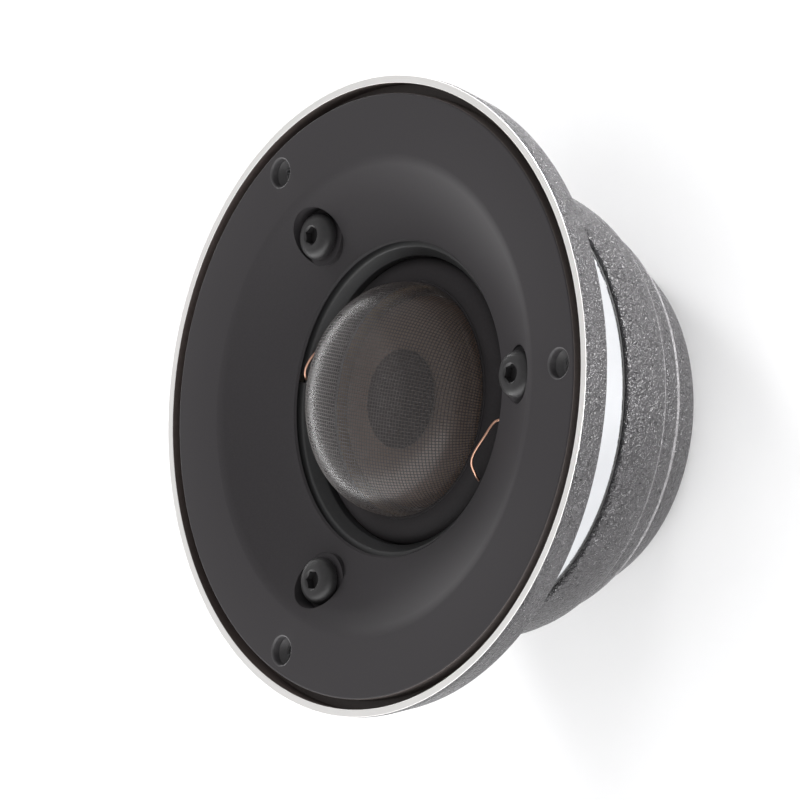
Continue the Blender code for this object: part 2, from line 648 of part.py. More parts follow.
def make_hookup_wire(name, turn, surface):
    """Insulated wire from a solder tab, down the outside of the motor and in to a terminal's stub."""
    angle = turn - 14
    route = [
        polar(21.4 * MM, angle, 29.0 * MM),
        polar(23.2 * MM, angle, 28.7 * MM),
        polar(24.15 * MM, angle, 26.5 * MM),
        polar(24.15 * MM, angle, 22.0 * MM),
        polar(24.15 * MM, angle, 17.0 * MM),
        polar(23.3 * MM, angle, 12.6 * MM),
        polar(21.3 * MM, angle, 10.3 * MM),
        polar(16.5 * MM, angle, 9.9 * MM),
        polar(10.0 * MM, angle, 10.0 * MM),
        polar(4.5 * MM, angle + 4, 9.8 * MM),
    ]
    wire(name, route, HOOKUP_RADIUS, surface, 2)


def clear_scene():
    for item in list(bpy.data.objects):
        bpy.data.objects.remove(item, do_unlink=True)


def main():
    clear_scene()
    cast_black = material("cast_black", (0.045, 0.045, 0.048), 0.55)
    plate_black = material("plate_black", (0.05, 0.048, 0.05), 0.6)
    mesh_black = material("dome_weave", (0.05, 0.047, 0.047), 0.5)
    coated_black = material("coated_cloth", (0.02, 0.02, 0.021), 0.45)
    moulded_black = material("moulded_black", (0.03, 0.03, 0.031), 0.4)
    polished = material("polished_aluminium", (0.9, 0.9, 0.92), 0.06, 1.0)
    screw_black = material("blackened_steel", (0.04, 0.04, 0.042), 0.35, 0.6)
    steel = material("zinc_steel", (0.5, 0.5, 0.5), 0.35, 1.0)
    ferrite = material("ferrite", (0.06, 0.06, 0.062), 0.7)
    aluminium = material("aluminium", (0.75, 0.75, 0.76), 0.3, 1.0)
    copper = material("copper", (0.8, 0.42, 0.28), 0.3, 1.0)
    former_paper = material("former_paper", (0.55, 0.38, 0.2), 0.5)
    rubber = material("rubber", (0.015, 0.015, 0.015), 0.7)
    felt = material("felt", (0.25, 0.24, 0.23), 0.95)
    board_brown = material("terminal_board_brown", (0.18, 0.09, 0.04), 0.5)
    tinned = material("tinned_brass", (0.72, 0.68, 0.58), 0.3, 1.0)
    red_wire = material("red_insulation", (0.45, 0.02, 0.02), 0.5)
    black_wire = material("black_insulation", (0.02, 0.02, 0.02), 0.5)

    make_flange(cast_black)
    make_face_plate(plate_black)
    button_head_screws("plate_screw", PLATE_SCREW_CIRCLE, THIRDS, POCKET_Z + GAP, PLATE_SCREW_LENGTH, 1, screw_black)
    make_diaphragm(mesh_black, copper, former_paper, coated_black)
    make_diaphragm_frame(moulded_black, tinned)
    make_motor(steel, ferrite, aluminium, copper, felt)
    make_shell(polished)
    ring("cup_gasket", SPIGOT_RADIUS + GAP, SHELL_RADIUS - 0.05 * MM, CUP_FRONT_Z + GAP, SHELL_SHOULDER_Z - GAP,
         rubber, MEDIUM)
    make_cup(cast_black)
    button_head_screws("cup_screw", CUP_SCREW_CIRCLE, CUP_SCREW_ANGLES, COUNTERBORE_DEPTH - GAP, CUP_SCREW_LENGTH,
                       -1, screw_black)
    make_felt_pads(felt)
    make_terminals(board_brown, tinned, steel)
    make_lead_wire("right", 0, copper)
    make_lead_wire("left", 180, copper)
    make_hookup_wire("hookup_wire_positive", 0, red_wire)
    make_hookup_wire("hookup_wire_negative", 180, black_wire)


main()
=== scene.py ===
"""Looks for the car tweeter: turned meshes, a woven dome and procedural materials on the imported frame."""

import math

import bmesh
import bpy
import numpy as np
from mathutils import Matrix, Vector


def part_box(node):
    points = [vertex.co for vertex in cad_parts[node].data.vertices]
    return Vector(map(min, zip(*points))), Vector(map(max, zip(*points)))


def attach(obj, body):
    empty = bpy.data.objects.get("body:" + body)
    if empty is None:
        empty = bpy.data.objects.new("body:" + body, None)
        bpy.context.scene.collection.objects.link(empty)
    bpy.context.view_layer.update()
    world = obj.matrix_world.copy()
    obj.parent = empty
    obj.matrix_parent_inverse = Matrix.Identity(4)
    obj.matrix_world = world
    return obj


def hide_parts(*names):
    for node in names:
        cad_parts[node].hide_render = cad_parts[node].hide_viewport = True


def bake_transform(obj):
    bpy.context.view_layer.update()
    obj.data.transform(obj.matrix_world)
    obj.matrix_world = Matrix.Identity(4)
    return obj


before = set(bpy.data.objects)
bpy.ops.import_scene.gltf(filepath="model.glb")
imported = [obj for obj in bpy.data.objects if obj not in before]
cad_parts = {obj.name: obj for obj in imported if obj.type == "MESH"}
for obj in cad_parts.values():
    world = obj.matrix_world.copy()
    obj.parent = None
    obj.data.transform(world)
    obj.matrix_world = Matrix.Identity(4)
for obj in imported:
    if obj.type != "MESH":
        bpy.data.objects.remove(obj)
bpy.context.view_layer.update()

MM = 0.001

# Heights and radii in metres. They match the CAD, except that the flange's rear edge is 0.2 mm smaller and
# 0.2 mm higher.
FRONT_Z = 34.0 * MM
FLANGE_RADIUS = 38.0 * MM
LAND_RADIUS = 37.1 * MM
FLANGE_REAR_RADIUS = 37.1 * MM
FLANGE_REAR_Z = 29.8 * MM
FLANGE_BORE = 27.9 * MM
FLANGE_LEDGE_Z = 31.7 * MM
PLATE_RADIUS = 35.9 * MM
HUB_RADIUS = 27.6 * MM
CREASE_RADIUS = 27.3 * MM
CREASE_Z = 33.5 * MM
THROAT_RADIUS = 18.7 * MM
THROAT_Z = 30.0 * MM
WAVEGUIDE_POWER = 1.25
THIRDS = (0, 120, 240)
MOUNT_HOLE_CIRCLE = 33.25 * MM
MOUNT_HOLE_RADIUS = 1.9 * MM
PLATE_SCREW_CIRCLE = 23.9 * MM
POCKET_RADIUS = 3.45 * MM
POCKET_Z = 31.25 * MM
CUP_SCREW_ANGLES = (75, 195, 315)
CUP_SCREW_CIRCLE = 15.4 * MM
HEAD_RADIUS = 2.85 * MM
HEAD_HEIGHT = 1.65 * MM
DOME_RADIUS = 14.0 * MM
DOME_BASE_Z = 28.5 * MM
DOME_HEIGHT = 8.9 * MM
DOME_POWER = 2.5
DOME_SKIRT = 0.5 * MM
WEAVE_INSET = 0.1 * MM
SHELL_RADIUS = 27.0 * MM
BAND_BOTTOM_Z = 18.25 * MM
CUP_FRONT_Z = 18.0 * MM
CUP_SOCKET_RADIUS = 26.3 * MM
LEAD_TURNS = {"right": 0, "left": 180}      # degrees that each lead's route is turned about the axis
LEAD_ANGLE = -14            # where a lead leaves through its slot in the lip, in degrees

# Camera: a long lens, with angles in degrees and the lens and sensor in millimetres
LENS = 381.0
SENSOR_WIDTH = 36.0
CAMERA_TARGET = (2.17 * MM, -0.55 * MM, FRONT_Z - 2.65 * MM)
CAMERA_AZIMUTH = 79.3
CAMERA_ELEVATION = 40.1
CAMERA_ROLL = 83.3
CAMERA_DISTANCE = 0.998

WHITE = (1.0, 1.0, 1.0, 1.0)

ROUND = 256                 # steps round the large turned pieces
SMALL_ROUND = 64            # steps round a screw head or a hole


# ---------------------------------------------------------------- camera, lights and floor

def look_matrix(target, azimuth, elevation, distance, roll):
    """Camera matrix on a sphere round a target, rolled clockwise about its view axis."""
    turn, rise = math.radians(azimuth), math.radians(elevation)
    back = Vector((math.sin(turn) * math.cos(rise), -math.cos(turn) * math.cos(rise), math.sin(rise)))
    level = back.to_track_quat("Z", "Y").to_matrix().to_4x4()
    rolled = level @ Matrix.Rotation(math.radians(-roll), 4, "Z")
    return Matrix.Translation(Vector(target) + back * distance) @ rolled


def make_camera():
    data = bpy.data.cameras.new("camera")
    data.lens = LENS
    data.sensor_width = SENSOR_WIDTH
    data.clip_start, data.clip_end = 0.05, 20.0
    camera = bpy.data.objects.new("camera", data)
    bpy.context.scene.collection.objects.link(camera)
    camera.matrix_world = look_matrix(CAMERA_TARGET, CAMERA_AZIMUTH, CAMERA_ELEVATION,
                                      CAMERA_DISTANCE, CAMERA_ROLL)
    bpy.context.scene.camera = camera


def area_light(name, direction, distance, size, power, target=(0.0, 0.0, 0.02)):
    """Soft rectangular light that shines on the target from a direction."""
    data = bpy.data.lights.new(name, "AREA")
    data.shape = "RECTANGLE"
    data.size, data.size_y = size
    data.energy = power
    lamp = bpy.data.objects.new(name, data)
    bpy.context.scene.collection.objects.link(lamp)
    away = Vector(direction).normalized()
    facing = away.to_track_quat("Z", "Y").to_matrix().to_4x4()
    lamp.matrix_world = Matrix.Translation(Vector(target) + away * distance) @ facing
    lamp.visible_camera = False
    return lamp


def make_studio():
    """White world, three lamps round the tweeter, two thin strips low beside the cup, and the floor."""
    world = bpy.data.worlds.new("studio")
    world.use_nodes = True
    background = world.node_tree.nodes["Background"]
    background.inputs["Color"].default_value = WHITE
    background.inputs["Strength"].default_value = 0.54
    bpy.context.scene.world = world
    overhead = area_light("overhead", (-0.62, 0.8, 0.5), distance=0.8, size=(0.22, 0.22), power=3.5)
    overhead.visible_glossy = False
    area_light("left_behind", (-1.0, 0.05, 0.07), distance=0.5, size=(0.9, 0.08), power=1.9)
    area_light("table_side", (-0.06, -1.0, 0.27), distance=0.5, size=(1.4, 0.56), power=6.4)
    cup_middle = (0.0, 0.0, 0.0085)
    strip = (0.1, 0.015)
    area_light("low_right", (1.0, -0.2, 0.0), distance=0.3, size=strip, power=1.9, target=cup_middle)
    area_light("low_back", (0.35, 1.0, 0.0), distance=0.3, size=strip, power=3.2, target=cup_middle)
    make_floor(half=3.0, glow=0.17)
    bpy.context.scene.view_settings.view_transform = "Standard"


def make_floor(half, glow):
    """Pale square floor that glows a little, so that it stays near white."""
    mesh = bpy.data.meshes.new("floor")
    corners = [(-half, -half, 0), (half, -half, 0), (half, half, 0), (-half, half, 0)]
    mesh.from_pydata(corners, [], [(0, 1, 2, 3)])
    floor = bpy.data.objects.new("floor", mesh)
    bpy.context.scene.collection.objects.link(floor)
    paper = surface("floor_paint", (0.8, 0.8, 0.805), 0.8, grain=0.004, variation=0.01)
    shader = paper.node_tree.nodes["Principled BSDF"]
    shader.inputs["Emission Color"].default_value = WHITE
    shader.inputs["Emission Strength"].default_value = glow
    mesh.materials.append(paper)


# ---------------------------------------------------------------- materials

def surface(name, colour, roughness, metallic=0.0, grain=0.0006, variation=0.1, bump=0.0,
            rough_swing=0.05, detail=3.0, shine=0.5):
    """Principled material whose colour, roughness and height follow one noise in object coordinates.

    grain is the size of the noise's features in metres, and bump its height.
    """
    made = bpy.data.materials.new(name)
    made.use_nodes = True
    nodes, links = made.node_tree.nodes, made.node_tree.links
    shader = nodes["Principled BSDF"]
    shader.inputs["Metallic"].default_value = metallic
    shader.inputs["Specular IOR Level"].default_value = shine
    place = nodes.new("ShaderNodeTexCoord")
    field = nodes.new("ShaderNodeTexNoise")
    field.name = "grain"
    field.inputs["Scale"].default_value = 1.0 / grain
    field.inputs["Detail"].default_value = detail
    links.new(place.outputs["Object"], field.inputs["Vector"])
    tint = nodes.new("ShaderNodeMix")
    tint.name = "tint"
    tint.data_type = "RGBA"
    low = [channel * (1.0 - variation) for channel in colour]
    high = [min(1.0, channel * (1.0 + variation)) for channel in colour]
    tint.inputs["A"].default_value = (*low, 1.0)
    tint.inputs["B"].default_value = (*high, 1.0)
    links.new(field.outputs["Fac"], tint.inputs["Factor"])
    links.new(tint.outputs["Result"], shader.inputs["Base Color"])
    spread = nodes.new("ShaderNodeMapRange")
    spread.inputs["To Min"].default_value = max(0.0, roughness - rough_swing)
    spread.inputs["To Max"].default_value = min(1.0, roughness + rough_swing)
    links.new(field.outputs["Fac"], spread.inputs["Value"])
    links.new(spread.outputs["Result"], shader.inputs["Roughness"])
    if bump:
        add_bump(made, field.outputs["Fac"], bump)
    return made


def add_bump(made, height, distance):
    """Chain a bump of a height in metres before the material's shader."""
    nodes, links = made.node_tree.nodes, made.node_tree.links
    shader = nodes["Principled BSDF"]
    bump = nodes.new("ShaderNodeBump")
    bump.inputs["Strength"].default_value = 1.0
    bump.inputs["Distance"].default_value = distance
    links.new(height, bump.inputs["Height"])
    if shader.inputs["Normal"].is_linked:
        links.new(shader.inputs["Normal"].links[0].from_socket, bump.inputs["Normal"])
    links.new(bump.outputs["Normal"], shader.inputs["Normal"])
    return bump


def wrinkle_paint(name, colour, roughness):
    """Coat that has dried into fine leathery wrinkles."""
    made = surface(name, colour, roughness, grain=0.0016, variation=0.3, bump=0.0002,
                   rough_swing=0.1, detail=2.0)
    nodes, links = made.node_tree.nodes, made.node_tree.links
    place = nodes.new("ShaderNodeTexCoord")
    for size, twist, height in ((0.0006, 1.0, 0.0009), (0.00028, 0.5, 0.0003)):
        worms = nodes.new("ShaderNodeTexNoise")
        worms.inputs["Scale"].default_value = 1.0 / size
        worms.inputs["Detail"].default_value = 1.5
        worms.inputs["Distortion"].default_value = twist
        links.new(place.outputs["Object"], worms.inputs["Vector"])
        add_bump(made, worms.outputs["Fac"], height)
    return made


def turned_metal(name, colour, roughness, groove, height, metallic=1.0):
    """Metal with fine rings round the axis, left by a lathe tool."""
    made = surface(name, colour, roughness, metallic=metallic, grain=0.003, variation=0.03, rough_swing=0.04)
    nodes, links = made.node_tree.nodes, made.node_tree.links
    place = nodes.new("ShaderNodeTexCoord")
    flat = nodes.new("ShaderNodeVectorMath")
    flat.operation = "MULTIPLY"
    flat.inputs[1].default_value = (1.0, 1.0, 0.0)
    links.new(place.outputs["Object"], flat.inputs[0])
    radius = nodes.new("ShaderNodeVectorMath")
    radius.operation = "LENGTH"
    links.new(flat.outputs["Vector"], radius.inputs[0])
    split = nodes.new("ShaderNodeSeparateXYZ")
    links.new(place.outputs["Object"], split.inputs["Vector"])
    along = nodes.new("ShaderNodeMath")
    along.operation = "ADD"
    links.new(radius.outputs["Value"], along.inputs[0])
    links.new(split.outputs["Z"], along.inputs[1])
    rings = nodes.new("ShaderNodeTexNoise")
    rings.noise_dimensions = "1D"
    rings.inputs["Scale"].default_value = 1.0 / groove
    rings.inputs["Detail"].default_value = 2.0
    links.new(along.outputs["Value"], rings.inputs["W"])
    add_bump(made, rings.outputs["Fac"], height)
    return made


# ---------------------------------------------------------------- mesh helpers

def polar(radius, angle, height=0.0):
    turn = math.radians(angle)
    return Vector((radius * math.cos(turn), radius * math.sin(turn), height))


def rounded(corners, rows=5, support=0.04 * MM):
    """Outline with its corners rounded. Each corner is (radius, height, fillet), and a fillet of 0 is sharp.

    A point just outside each end of a fillet keeps the flat beside it flat when it is shaded smooth.
    """
    outline = []
    count = len(corners)
    for i, (x, z, fillet) in enumerate(corners):
        here = Vector((x, z))
        if not fillet:
            outline.append((x, z))
            continue
        before = (Vector(corners[i - 1][:2]) - here).normalized()
        after = (Vector(corners[(i + 1) % count][:2]) - here).normalized()
        half = before.angle(after) / 2
        reach = fillet / math.tan(half)
        centre = here + (before + after).normalized() * (fillet / math.sin(half))
        start, end = here + before * reach, here + after * reach
        first, last = start - centre, end - centre
        sweep = first.angle_signed(last)
        outline.append(tuple(start + before * support))
        for row in range(rows + 1):
            spoke = Matrix.Rotation(-sweep * row / rows, 2) @ first
            outline.append(tuple(centre + spoke))
        outline.append(tuple(end + after * support))
    return outline


def lathe_mesh(outline, steps, closed=True):
    """Vertices and faces of an outline of (radius, height) points turned about Z."""
    turns = np.arange(steps) * math.tau / steps
    ring = np.array(outline)
    verts = np.empty((steps, len(ring), 3))
    verts[:, :, 0] = np.cos(turns)[:, None] * ring[:, 0]
    verts[:, :, 1] = np.sin(turns)[:, None] * ring[:, 0]
    verts[:, :, 2] = ring[:, 1]
    rows = len(ring)
    faces = []
    for step in range(steps):
        after = (step + 1) % steps
        for row in range(rows if closed else rows - 1):
            below = (row + 1) % rows
            if outline[row][0] == 0.0 and outline[below][0] == 0.0:
                continue
            faces.append((step * rows + row, step * rows + below, after * rows + below, after * rows + row))
    return verts.reshape(-1, 3), faces


def add_piece(name, verts, faces, material, sharp=38):
    """Mesh object with merged doubles, outward faces and smooth shading."""
    mesh = bpy.data.meshes.new(name)
    mesh.from_pydata([tuple(v) for v in verts], [], faces)
    bm = bmesh.new()
    bm.from_mesh(mesh)
    bmesh.ops.remove_doubles(bm, verts=bm.verts, dist=1e-7)
    bmesh.ops.recalc_face_normals(bm, faces=bm.faces)
    bm.to_mesh(mesh)
    bm.free()
    mesh.materials.append(material)
    mesh.shade_smooth()
    mesh.set_sharp_from_angle(angle=math.radians(sharp))
    piece = bpy.data.objects.new(name, mesh)
    bpy.context.scene.collection.objects.link(piece)
    return piece


def turn(name, outline, material, steps=ROUND):
    return add_piece(name, *lathe_mesh(outline, steps), material)


def settle(piece, body, slot, *nodes):
    """Ride a piece on its body in place of CAD nodes."""
    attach(piece, body)
    if nodes:
        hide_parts(*nodes)


def coat_rings(mesh, rings, reach, index):
    """Give the faces within reach of each ring of (radius, height) another of the mesh's materials."""
    for face in mesh.polygons:
        radius = math.hypot(face.center.x, face.center.y)
        if any(math.hypot(radius - out, face.center.z - height) < reach for out, height in rings):
            face.material_index = index


def carve(piece, cutters, operation="DIFFERENCE", sharp=38):
    """Apply Boolean cuts to a piece and delete the cutters."""
    for cutter in cutters:
        modifier = piece.modifiers.new("cut", "BOOLEAN")
        modifier.operation = operation
        modifier.object = cutter
        modifier.solver = "EXACT"
    graph = bpy.context.evaluated_depsgraph_get()
    mesh = bpy.data.meshes.new_from_object(piece.evaluated_get(graph))
    piece.modifiers.clear()
    piece.data = mesh
    mesh.shade_smooth()
    mesh.set_sharp_from_angle(angle=math.radians(sharp))
    for cutter in cutters:
        bpy.data.objects.remove(cutter)


def cutter_at(outline, circle, angle, steps=SMALL_ROUND):
    """Turned cutter standing on a circle round the axis."""
    verts, faces = lathe_mesh(outline, steps)
    verts = verts + np.array(polar(circle, angle))
    return add_piece("cutter", verts, faces, None)


def box_cutter(size, centre, angle):
    bm = bmesh.new()
    turned = Matrix.Rotation(math.radians(angle), 4, "Z")
    matrix = Matrix.Translation(centre) @ turned @ Matrix.Diagonal((*size, 1.0))
    bmesh.ops.create_cube(bm, size=1.0, matrix=matrix)
    mesh = bpy.data.meshes.new("cutter")
    bm.to_mesh(mesh)
    bm.free()
    made = bpy.data.objects.new("cutter", mesh)
    bpy.context.scene.collection.objects.link(made)
    return made


# ---------------------------------------------------------------- flange, face plate and screws

def make_flange(paint, bright, groove):
    """Cast ring with a bright land on its front and a brown groove inside the land."""
    rear_fillet, land_fillet, side_drop = 0.35 * MM, 0.06 * MM, 0.7 * MM
    corners = [
        (FLANGE_BORE, FLANGE_REAR_Z, 0),
        (FLANGE_REAR_RADIUS, FLANGE_REAR_Z, rear_fillet),
        (FLANGE_RADIUS, FRONT_Z - side_drop, 0),
        (FLANGE_RADIUS, FRONT_Z, land_fillet),
        (LAND_RADIUS, FRONT_Z, land_fillet),
        (LAND_RADIUS, FLANGE_LEDGE_Z, 0),
        (PLATE_RADIUS - 0.2 * MM, FLANGE_LEDGE_Z, 0),
        (FLANGE_BORE, FLANGE_LEDGE_Z, 0),
    ]
    flange = turn("flange_casting", rounded(corners), paint)
    flange.data.materials.append(bright)
    flange.data.materials.append(groove)
    bright_index, groove_index = 1, 2
    land_slack, ledge_slack, wall_slack = 0.04 * MM, 0.01 * MM, 0.05 * MM
    hole = [(0, FLANGE_REAR_Z - MM), (MOUNT_HOLE_RADIUS, FLANGE_REAR_Z - MM),
            (MOUNT_HOLE_RADIUS, FRONT_Z), (0, FRONT_Z)]
    carve(flange, [cutter_at(hole, MOUNT_HOLE_CIRCLE, angle) for angle in THIRDS])
    for face in flange.data.polygons:
        centre = face.center
        radius = math.hypot(centre.x, centre.y)
        if centre.z > FRONT_Z - land_slack and radius > LAND_RADIUS:
            face.material_index = bright_index
        elif centre.z > FLANGE_LEDGE_Z - ledge_slack and PLATE_RADIUS < radius < LAND_RADIUS + wall_slack:
            face.material_index = groove_index
    settle(flange, "chassis", "cast_black", "mounting_flange")


def waveguide_height(radius):
    """Height of the dish at a radius between the throat and the crease."""
    share = (radius - THROAT_RADIUS) / (CREASE_RADIUS - THROAT_RADIUS)
    return THROAT_Z + (CREASE_Z - THROAT_Z) * share ** WAVEGUIDE_POWER


def plate_outline():
    """Face plate's section: flat rim, soft crease and concave dish in front, a hub behind."""
    margin = 0.25 * MM
    rows = 28
    dish = []
    for row in range(rows + 1):
        radius = THROAT_RADIUS + margin + (CREASE_RADIUS - THROAT_RADIUS - margin) * row / rows
        dish.append((radius, waveguide_height(radius)))
    slope = (dish[-1][1] - dish[-2][1]) / (dish[-1][0] - dish[-2][0])
    crease = []
    crease_rows = 8
    width = 1.5 * MM
    for row in range(1, crease_rows + 1):
        share = row / crease_rows
        out = CREASE_RADIUS + width * share
        rise = slope * width * (share - share ** 2 / 2)
        crease.append((out, CREASE_Z + rise))
    lift = FRONT_Z - crease[-1][1]
    crease = [(out, height + lift * (out - CREASE_RADIUS) / width) for out, height in crease]
    bottom = FLANGE_LEDGE_Z + 0.3 * MM
    rim = rounded([
        (CREASE_RADIUS + width, FRONT_Z, 0),
        (THROAT_RADIUS, THROAT_Z - 0.2 * MM, 0),
        (THROAT_RADIUS, FLANGE_REAR_Z, 0),
        (HUB_RADIUS, FLANGE_REAR_Z, 0),
        (HUB_RADIUS, bottom, 0),
        (PLATE_RADIUS, bottom, 0),
        (PLATE_RADIUS, FRONT_Z, 0.22 * MM),
    ])
    return [*rim[1:], rim[0], *reversed(crease[:-1]), *reversed(dish)]


def make_plate(plastic, hole_light, edge):
    """Face plate with pockets for its screws and mounting holes that narrow below their mouths. The insides
    of the mounting holes and the plate's outer wall get paler paint, which is painted light.
    """
    plate = turn("waveguide_plate", plate_outline(), plastic)
    fine = 20                   # degrees above which a cut edge stays sharp
    above = FRONT_Z + MM
    mouth = 0.2 * MM
    wall = MOUNT_HOLE_RADIUS - mouth
    step, bore = 0.15 * MM, 1.0 * MM
    wall_bottom, step_bottom, bore_top = FRONT_Z - 1.1 * MM, FRONT_Z - 1.25 * MM, FRONT_Z - 1.7 * MM
    hole = [(0, FLANGE_REAR_Z), (bore, FLANGE_REAR_Z), (bore, bore_top), (wall - step, step_bottom),
            (wall, wall_bottom), (wall, FRONT_Z - mouth), (wall + mouth / 3, FRONT_Z - mouth / 3),
            (MOUNT_HOLE_RADIUS, FRONT_Z + 0.01 * MM), (MOUNT_HOLE_RADIUS, above), (0, above)]
    carve(plate, [cutter_at(hole, MOUNT_HOLE_CIRCLE, angle) for angle in THIRDS], sharp=fine)
    seat_bottom = FLANGE_REAR_Z + 0.4 * MM
    seat = [(0, seat_bottom), (POCKET_RADIUS, seat_bottom), (POCKET_RADIUS, POCKET_Z), (0, POCKET_Z)]
    carve(plate, [cutter_at(seat, PLATE_SCREW_CIRCLE, angle) for angle in THIRDS], "UNION", sharp=fine)
    overlap = 0.02 * MM
    pocket_wall, pocket_floor = POCKET_RADIUS - overlap, POCKET_Z - overlap
    pocket = [(0, pocket_floor), (pocket_wall, pocket_floor), (pocket_wall, above), (0, above)]
    carve(plate, [cutter_at(pocket, PLATE_SCREW_CIRCLE, angle) for angle in THIRDS], sharp=fine)
    plate.data.materials.append(hole_light)
    plate.data.materials.append(edge)
    hole_light_index, wall_light_index = 1, 2
    edge_slack, edge_drop, hole_drop = 0.06 * MM, 0.1 * MM, 0.005 * MM
    for face in plate.data.polygons:
        centre = face.center
        radius = math.hypot(centre.x, centre.y)
        # Painted light: the plate's outer wall in the groove is painted paler to lift its shade.
        if radius > PLATE_RADIUS - edge_slack and centre.z < FRONT_Z - edge_drop:
            face.material_index = wall_light_index
        # Painted light: the insides of the mounting holes are painted paler than the plate.
        for angle in THIRDS:
            away = centre - polar(MOUNT_HOLE_CIRCLE, angle, centre.z)
            if away.length < MOUNT_HOLE_RADIUS and centre.z < FRONT_Z - hole_drop:
                face.material_index = hole_light_index
    settle(plate, "chassis", "plate_black", "face_plate")


def head_outline():
    """Button head's section: a short straight edge, then a round shoulder up to a flat land."""
    land, edge_top, chamfer = 1.45 * MM, 0.3 * MM, 0.1 * MM
    rows = 10
    outline = [(0.0, 0.0), (HEAD_RADIUS - chamfer, 0.0), (HEAD_RADIUS, chamfer), (HEAD_RADIUS, edge_top)]
    for row in range(1, rows + 1):
        angle = math.pi / 2 * row / rows
        outline.append((land + (HEAD_RADIUS - land) * math.cos(angle),
                        edge_top + (HEAD_HEIGHT - edge_top) * math.sin(angle)))
    outline.append((land - 0.04 * MM, HEAD_HEIGHT))
    outline.append((0.0, HEAD_HEIGHT))
    return outline


def socket_cutters():
    """Hexagon and the chamfer at its mouth, standing where a head's socket is cut."""
    flat = 1.0 * MM
    corner = flat / math.cos(math.pi / 6)
    floor, above = HEAD_HEIGHT - 1.1 * MM, HEAD_HEIGHT + MM
    tip, shoulder, brim = HEAD_HEIGHT - 0.32 * MM, HEAD_HEIGHT - 0.2 * MM, HEAD_HEIGHT + 0.02 * MM
    hexagon = lathe_mesh([(0, floor), (corner, floor), (corner, above), (0, above)], 6)
    mouth = lathe_mesh([(0, tip), (flat, shoulder), (corner + 0.12 * MM, brim), (0, brim)], 48)
    return [add_piece("cutter", *hexagon, None), add_piece("cutter", *mouth, None)]


def make_screws(label, node, circle, angles, seat, direction, steel):
    """Button head screws with a chamfered hexagon socket, each turned by its own amount."""
    outline = head_outline()
    spin_step = 17              # degrees, so that no two sockets point the same way
    for number, angle in enumerate(angles, 1):
        head = turn(f"{label}_{number}", outline, steel, SMALL_ROUND)
        carve(head, socket_cutters())
        spin = Matrix.Rotation(math.radians(spin_step * number + angle), 4, "Z")
        place = Matrix.Translation(polar(circle, angle, seat))
        if direction < 0:
            place = place @ Matrix.Rotation(math.pi, 4, "X")
        head.data.transform(place @ spin)
        settle(head, "chassis", "screw_black", f"{node}_{number}")


# ---------------------------------------------------------------- throat and diaphragm

def make_frame(plastic):
    """Ring with a sloping lip round the roll, and a slot in the lip for each lead."""
    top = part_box("diaphragm_frame")[1].z
    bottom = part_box("diaphragm_frame")[0].z
    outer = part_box("diaphragm_frame")[1].x
    bore, lip, lip_depth = 17.2 * MM, 18.2 * MM, 1.3 * MM
    corners = [
        (bore, bottom, 0),
        (outer, bottom, 0),
        (outer, top, 0),
        (lip, top, 0.35 * MM),
        (bore, top - lip_depth, 0.3 * MM),
    ]
    ring = turn("throat_frame", rounded(corners), plastic)
    slot_size = (2.8 * MM, 1.0 * MM, 1.6 * MM)
    slots = [box_cutter(slot_size, polar(lip, LEAD_ANGLE + turned, top), LEAD_ANGLE + turned)
             for turned in LEAD_TURNS.values()]
    carve(ring, slots)
    settle(ring, "chassis", "moulded_black", "diaphragm_frame")


def make_surround(cloth):
    """Quarter roll of coated cloth, from its clamp under the frame up to the dome's skirt."""
    inner, outer, clamp = 14.2 * MM, 17.1 * MM, 20.4 * MM
    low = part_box("surround")[0].z + 0.3 * MM
    high = DOME_BASE_Z
    thick = 0.25 * MM
    rows = 24
    angles = [math.pi / 2 * row / rows for row in range(rows + 1)]
    top = [(inner + (outer - inner) * math.cos(angle), low + (high - low) * math.sin(angle))
           for angle in angles]
    bottom = [(inner + (outer - thick - inner) * math.cos(angle),
               low + (high - low - thick) * math.sin(angle)) for angle in angles]
    bottom[0] = (bottom[0][0], low - thick)
    outline = [(clamp, low), *top, *reversed(bottom), (clamp, low - thick)]
    roll = turn("surround_roll", outline, cloth)
    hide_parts("surround")
    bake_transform(roll)


class DomeShape:
    """The dome's surface by arc length from its apex, WEAVE_INSET inside the CAD dome's."""

    def __init__(self):
        rows = 400
        angles = np.linspace(math.pi / 2, 0.0, rows)
        power = 2 / DOME_POWER
        self.radii = (DOME_RADIUS - WEAVE_INSET) * np.clip(np.cos(angles), 0, None) ** power
        self.radii[0] = 0.0
        self.heights = DOME_BASE_Z + (DOME_HEIGHT - WEAVE_INSET) * np.clip(np.sin(angles), 0, None) ** power
        self.radii = np.append(self.radii, self.radii[-1])
        self.heights = np.append(self.heights, DOME_BASE_Z - DOME_SKIRT)
        self.arcs = np.concatenate([[0.0], np.cumsum(np.hypot(np.diff(self.radii), np.diff(self.heights)))])

    def place(self, arc, turn_angle):
        """Points and outward normals at arc lengths and angles about the axis."""
        radius = np.interp(arc, self.arcs, self.radii)
        height = np.interp(arc, self.arcs, self.heights)
        step = 0.02 * MM
        before, after = np.maximum(arc - step, 0), arc + step
        fall = np.interp(after, self.arcs, self.heights) - np.interp(before, self.arcs, self.heights)
        run = np.interp(after, self.arcs, self.radii) - np.interp(before, self.arcs, self.radii)
        size = np.hypot(run, fall)
        out, up = -fall / size, run / size
        cos, sin = np.cos(turn_angle), np.sin(turn_angle)
        points = np.stack([radius * cos, radius * sin, height], -1)
        normals = np.stack([out * cos, out * sin, up], -1)
        return points, normals


